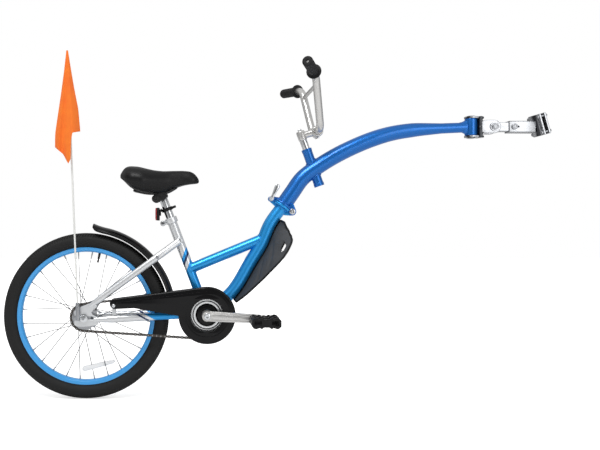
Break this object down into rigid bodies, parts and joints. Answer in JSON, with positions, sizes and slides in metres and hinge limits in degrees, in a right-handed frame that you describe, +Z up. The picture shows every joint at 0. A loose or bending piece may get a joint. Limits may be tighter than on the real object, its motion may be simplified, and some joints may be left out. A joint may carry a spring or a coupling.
{
  "type": "trailer bike",
  "caption": "Half bike with a single wheel, folding frame and curved tow arm that clamps to the seat post of an adult's bike, with chain drive, saddle, handlebar and safety flag.",
  "frame": {"origin": "centre of the clamp that grips the towing bike's seat post", "axes": "+X forward along the direction of travel, +Y to the rider's left, +Z up, with the drive side facing -Y"},
  "size_m": [1.6658, 0.5044, 1.0435],
  "materials": {
    "frame_paint": "gloss metallic blue",
    "arm_paint": "gloss metallic deep blue",
    "rim_paint": "gloss light blue",
    "silver_paint": "satin silver",
    "chrome": "polished",
    "steel": "bright zinc",
    "black_plastic": "fine moulded grain",
    "grip_rubber": "soft matt",
    "tyre_rubber": "matt",
    "saddle_cover": "grained black cover over foam",
    "red_lens": "prismatic red",
    "clear_lens": "prismatic clear",
    "flag_fabric": "woven orange",
    "white_pole": "smooth white glass fibre"
  },
  "bodies": {
    "hitch_clamp": {"hitch_receiver": "chrome", "clamp_cap": "chrome", "clamp_insert_rear": "grip_rubber", "clamp_insert_front": "grip_rubber", "clamp_bolt_1": "steel", "clamp_bolt_2": "steel", "clamp_bolt_3": "steel", "clamp_bolt_4": "steel", "hitch_tongue": "chrome"},
    "hitch_pin": {"hitch_pin": "chrome"},
    "pivot_yoke": {"pivot_yoke": "chrome", "pitch_bolt": "steel", "yaw_bolt": "steel"},
    "tow_arm": {"tow_arm": "arm_paint", "fold_pin": "chrome", "fold_skewer": "steel"},
    "stem": {"stem": "chrome", "stem_bolt": "chrome"},
    "handlebar": {"handlebar": "silver_paint", "grip_right": "grip_rubber", "grip_left": "grip_rubber"},
    "fold_lever": {"fold_lever": "chrome"},
    "frame": {"front_frame": "frame_paint", "rear_frame": "silver_paint", "chain_guard": "black_plastic", "guard_screw": "steel", "mudguard": "black_plastic", "splash_guard": "black_plastic", "chain": "steel", "axle_with_nuts": "steel", "chain_tensioner_right": "steel", "chain_tensioner_left": "steel", "flag_bracket": "steel", "flag_pole": "white_pole", "flag_cloth": "flag_fabric", "seat_collar": "silver_paint", "seat_skewer": "steel"},
    "seat_lever": {"seat_lever": "chrome"},
    "seat_post": {"seat_post": "chrome", "reflector_bracket": "black_plastic", "rear_reflector": "red_lens"},
    "saddle": {"saddle": "saddle_cover", "saddle_rails": "steel", "saddle_clamp": "steel"},
    "wheel": {"tyre": "tyre_rubber", "rim": "rim_paint", "hub_and_spokes": "steel", "spoke_reflector": "clear_lens"},
    "cog": {"rear_cog": "steel"},
    "crank": {"chainring": "chrome", "bracket_axle": "steel", "crank_arm_right": "silver_paint", "crank_arm_left": "silver_paint", "pedal_spindle_right": "steel", "pedal_spindle_left": "steel"},
    "pedal_right": {"pedal_right": "black_plastic"},
    "pedal_left": {"pedal_left": "black_plastic"}
  },
  "joints": [
    {"name": "hitch_pin_pull", "type": "slide", "parent": "hitch_clamp", "child": "hitch_pin", "axis": [0, -1, 0], "range_m": [0, 0.05]},
    {"name": "hitch_pitch", "type": "hinge", "parent": "hitch_clamp", "child": "pivot_yoke", "pos_m": [-0.145, 0, -0.007], "axis": [0, 1, 0], "range_deg": [-35, 35]},
    {"name": "hitch_yaw", "type": "hinge", "parent": "pivot_yoke", "child": "tow_arm", "pos_m": [-0.209, 0, -0.007], "axis": [0, 0, 1], "range_deg": [-75, 75]},
    {"name": "stem_height", "type": "slide", "parent": "tow_arm", "child": "stem", "axis": [-0.3355, 0, 0.9421], "range_m": [-0.02, 0.04]},
    {"name": "handlebar_tilt", "type": "hinge", "parent": "stem", "child": "handlebar", "pos_m": [-0.68055, 0, -0.02072], "axis": [0, 1, 0], "range_deg": [-20, 20]},
    {"name": "fold_lever_swing", "type": "hinge", "parent": "tow_arm", "child": "fold_lever", "pos_m": [-0.82042, -0.0209, -0.22586], "axis": [0.9063, 0, -0.4226], "range_deg": [0, 140]},
    {"name": "frame_fold", "type": "hinge", "parent": "tow_arm", "child": "frame", "pos_m": [-0.75802, 0, -0.26502], "axis": [0, -1, 0], "range_deg": [0, 115]},
    {"name": "seat_lever_swing", "type": "hinge", "parent": "frame", "child": "seat_lever", "pos_m": [-1.14994, 0.0221, -0.30098], "axis": [-0.4067, 0, 0.9135], "range_deg": [0, 140]},
    {"name": "seat_height", "type": "slide", "parent": "frame", "child": "seat_post", "axis": [-0.3551, 0, 0.9348], "range_m": [0, 0.09]},
    {"name": "saddle_tilt", "type": "hinge", "parent": "seat_post", "child": "saddle", "pos_m": [-1.15211, 0, -0.21783], "axis": [0, 1, 0], "range_deg": [-12, 12]},
    {"name": "wheel_spin", "type": "hinge", "parent": "frame", "child": "wheel", "pos_m": [-1.3836, 0, -0.582], "axis": [0, 1, 0], "continuous": true},
    {"name": "cog_spin", "type": "hinge", "parent": "frame", "child": "cog", "pos_m": [-1.3836, 0, -0.582], "axis": [0, 1, 0], "continuous": true},
    {"name": "crank_spin", "type": "hinge", "parent": "frame", "child": "crank", "pos_m": [-1.01681, 0, -0.574], "axis": [0, 1, 0], "continuous": true},
    {"name": "pedal_right_spin", "type": "hinge", "parent": "crank", "child": "pedal_right", "pos_m": [-0.85204, -0.1356, -0.58264], "axis": [0, 1, 0], "continuous": true},
    {"name": "pedal_left_spin", "type": "hinge", "parent": "crank", "child": "pedal_left", "pos_m": [-1.18159, 0.1356, -0.56537], "axis": [0, 1, 0], "continuous": true}
  ],
  "couplings": [
    {"joint": "cog_spin", "follows": "crank_spin", "ratio": 1.8}
  ]
}
